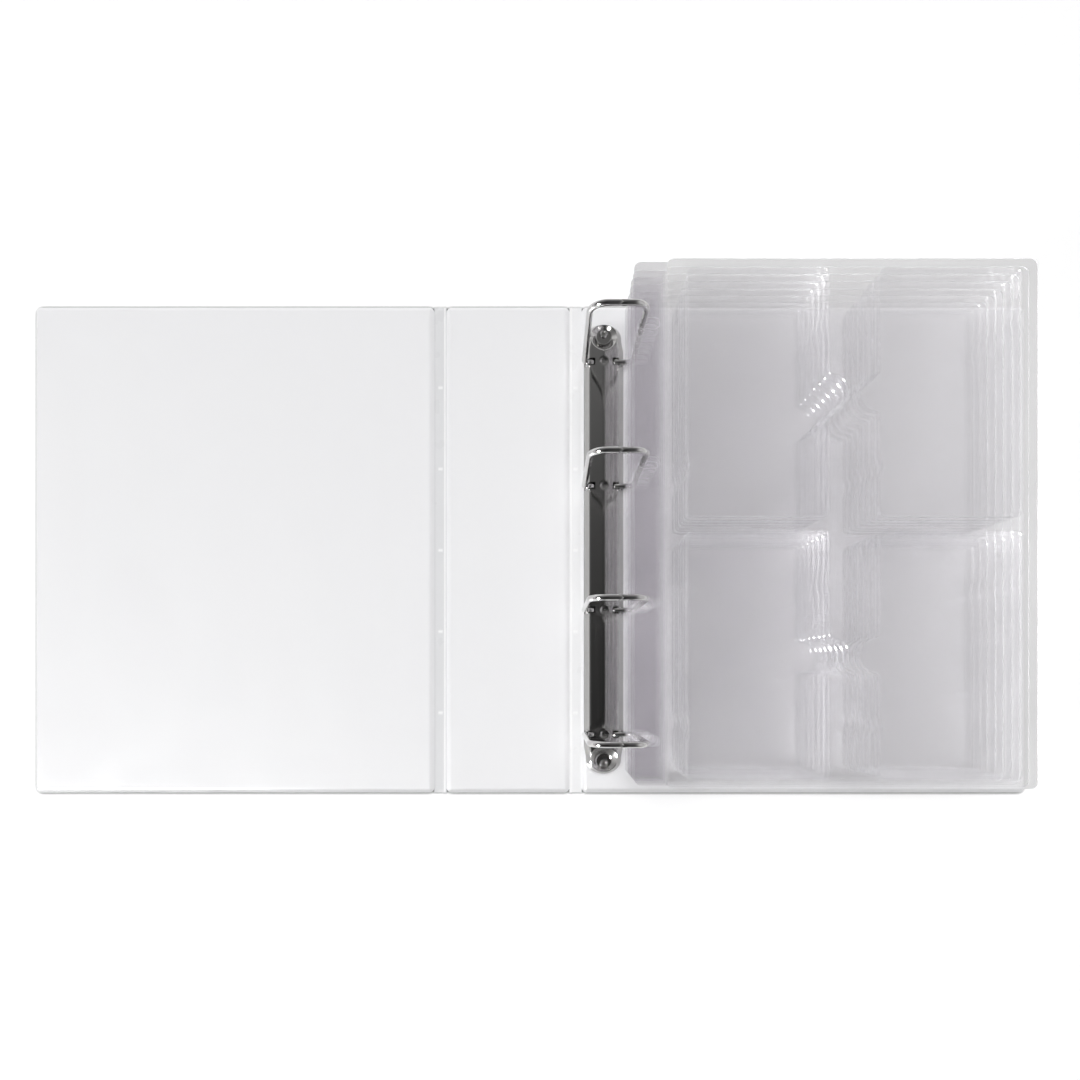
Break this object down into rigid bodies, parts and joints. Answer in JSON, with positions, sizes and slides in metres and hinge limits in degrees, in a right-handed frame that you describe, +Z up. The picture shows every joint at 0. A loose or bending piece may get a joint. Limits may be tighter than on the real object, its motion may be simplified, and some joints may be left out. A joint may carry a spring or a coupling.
{
  "type": "graded card album",
  "caption": "Open ring album with hinged white covers, a snap-ring mechanism and clear moulded pages whose pockets hold graded card slabs.",
  "frame": {"origin": "on the table under the middle of the open album", "axes": "+X from the front cover to the back cover, +Y from tail to head, +Z up out of the open album"},
  "size_m": [0.6476, 0.318, 0.0812],
  "materials": {
    "white_vinyl": "smooth white vinyl, slightly glossy",
    "hinge_film": "welded white vinyl film",
    "greyboard": "raw greyboard, sealed inside the covers",
    "nickel_plate": "bright nickel plating on steel",
    "clear_sheet": "clear glossy thermoformed sheet"
  },
  "bodies": {
    "back_cover": {"back_outer_skin": "white_vinyl", "back_board": "greyboard", "back_lining": "white_vinyl", "ring_plate": "nickel_plate", "head_rivet": "nickel_plate", "tail_rivet": "nickel_plate", "back_hinge": "hinge_film"},
    "spine": {"spine_outer_skin": "white_vinyl", "spine_board": "greyboard", "spine_lining": "white_vinyl", "front_hinge": "hinge_film"},
    "front_cover": {"front_outer_skin": "white_vinyl", "front_board": "greyboard", "front_lining": "white_vinyl"},
    "left_rings": {"left_blade": "nickel_plate", "left_half_ring_1": "nickel_plate", "left_half_ring_2": "nickel_plate", "left_half_ring_3": "nickel_plate", "left_half_ring_4": "nickel_plate"},
    "right_rings": {"right_blade": "nickel_plate", "right_half_ring_1": "nickel_plate", "right_half_ring_2": "nickel_plate", "right_half_ring_3": "nickel_plate", "right_half_ring_4": "nickel_plate"},
    "binding_1": {"binding_strip_1": "clear_sheet"},
    "binding_2": {"binding_strip_2": "clear_sheet"},
    "binding_3": {"binding_strip_3": "clear_sheet"},
    "binding_4": {"binding_strip_4": "clear_sheet"},
    "binding_5": {"binding_strip_5": "clear_sheet"},
    "binding_6": {"binding_strip_6": "clear_sheet"},
    "binding_7": {"binding_strip_7": "clear_sheet"},
    "page_1": {"page_tray_1": "clear_sheet"},
    "page_2": {"page_tray_2": "clear_sheet"},
    "page_3": {"page_tray_3": "clear_sheet"},
    "page_4": {"page_tray_4": "clear_sheet"},
    "page_5": {"page_tray_5": "clear_sheet"},
    "page_6": {"page_tray_6": "clear_sheet"},
    "page_7": {"page_tray_7": "clear_sheet"}
  },
  "joints": [
    {"name": "spine_fold", "type": "hinge", "parent": "back_cover", "child": "spine", "pos_m": [0.02977, 0, 0.0007], "axis": [0, 1, 0], "range_deg": [0, 90], "deforming": ["back_hinge"]},
    {"name": "front_cover_fold", "type": "hinge", "parent": "spine", "child": "front_cover", "pos_m": [-0.05878, 0, 0.0007], "axis": [0, 1, 0], "range_deg": [0, 90], "deforming": ["front_hinge"]},
    {"name": "left_rings_open", "type": "hinge", "parent": "back_cover", "child": "left_rings", "pos_m": [0.03778, 0, 0.00511], "axis": [0, 1, 0], "range_deg": [-8, 0]},
    {"name": "right_rings_open", "type": "hinge", "parent": "back_cover", "child": "right_rings", "pos_m": [0.05777, 0, 0.00511], "axis": [0, 1, 0], "range_deg": [0, 8]},
    {"name": "page_1_slide", "type": "slide", "parent": "back_cover", "child": "binding_1", "axis": [0, 0, 1], "range_m": [0, 0.009]},
    {"name": "page_2_slide", "type": "slide", "parent": "back_cover", "child": "binding_2", "axis": [0, 0, 1], "range_m": [0, 0.00771]},
    {"name": "page_3_slide", "type": "slide", "parent": "back_cover", "child": "binding_3", "axis": [0, 0, 1], "range_m": [0, 0.00643]},
    {"name": "page_4_slide", "type": "slide", "parent": "back_cover", "child": "binding_4", "axis": [0, 0, 1], "range_m": [0, 0.00514]},
    {"name": "page_5_slide", "type": "slide", "parent": "back_cover", "child": "binding_5", "axis": [0, 0, 1], "range_m": [0, 0.00386]},
    {"name": "page_6_slide", "type": "slide", "parent": "back_cover", "child": "binding_6", "axis": [0, 0, 1], "range_m": [0, 0.00257]},
    {"name": "page_7_slide", "type": "slide", "parent": "back_cover", "child": "binding_7", "axis": [0, 0, 1], "range_m": [0, 0.00129]},
    {"name": "page_1_lift", "type": "hinge", "parent": "binding_1", "child": "page_1", "pos_m": [0.08004, 0, 0.05765], "axis": [0, 1, 0], "range_deg": [-85, 0]},
    {"name": "page_2_lift", "type": "hinge", "parent": "binding_2", "child": "page_2", "pos_m": [0.08004, 0, 0.0499], "axis": [0, 1, 0], "range_deg": [-56.67, 0]},
    {"name": "page_3_lift", "type": "hinge", "parent": "binding_3", "child": "page_3", "pos_m": [0.08004, 0, 0.04215], "axis": [0, 1, 0], "range_deg": [-42.5, 0]},
    {"name": "page_4_lift", "type": "hinge", "parent": "binding_4", "child": "page_4", "pos_m": [0.08004, 0, 0.0344], "axis": [0, 1, 0], "range_deg": [-34, 0]},
    {"name": "page_5_lift", "type": "hinge", "parent": "binding_5", "child": "page_5", "pos_m": [0.08004, 0, 0.02665], "axis": [0, 1, 0], "range_deg": [-28.33, 0]},
    {"name": "page_6_lift", "type": "hinge", "parent": "binding_6", "child": "page_6", "pos_m": [0.08004, 0, 0.0189], "axis": [0, 1, 0], "range_deg": [-24.29, 0]},
    {"name": "page_7_lift", "type": "hinge", "parent": "binding_7", "child": "page_7", "pos_m": [0.08004, 0, 0.01115], "axis": [0, 1, 0], "range_deg": [-21.25, 0]}
  ],
  "couplings": [
    {"joint": "right_rings_open", "follows": "left_rings_open", "ratio": -1},
    {"joint": "page_2_slide", "follows": "page_1_slide", "ratio": 0.85714},
    {"joint": "page_3_slide", "follows": "page_1_slide", "ratio": 0.71429},
    {"joint": "page_4_slide", "follows": "page_1_slide", "ratio": 0.57143},
    {"joint": "page_5_slide", "follows": "page_1_slide", "ratio": 0.42857},
    {"joint": "page_6_slide", "follows": "page_1_slide", "ratio": 0.28571},
    {"joint": "page_7_slide", "follows": "page_1_slide", "ratio": 0.14286},
    {"joint": "page_2_lift", "follows": "page_1_lift", "ratio": 0.66667},
    {"joint": "page_3_lift", "follows": "page_1_lift", "ratio": 0.5},
    {"joint": "page_4_lift", "follows": "page_1_lift", "ratio": 0.4},
    {"joint": "page_5_lift", "follows": "page_1_lift", "ratio": 0.33333},
    {"joint": "page_6_lift", "follows": "page_1_lift", "ratio": 0.28571},
    {"joint": "page_7_lift", "follows": "page_1_lift", "ratio": 0.25}
  ]
}
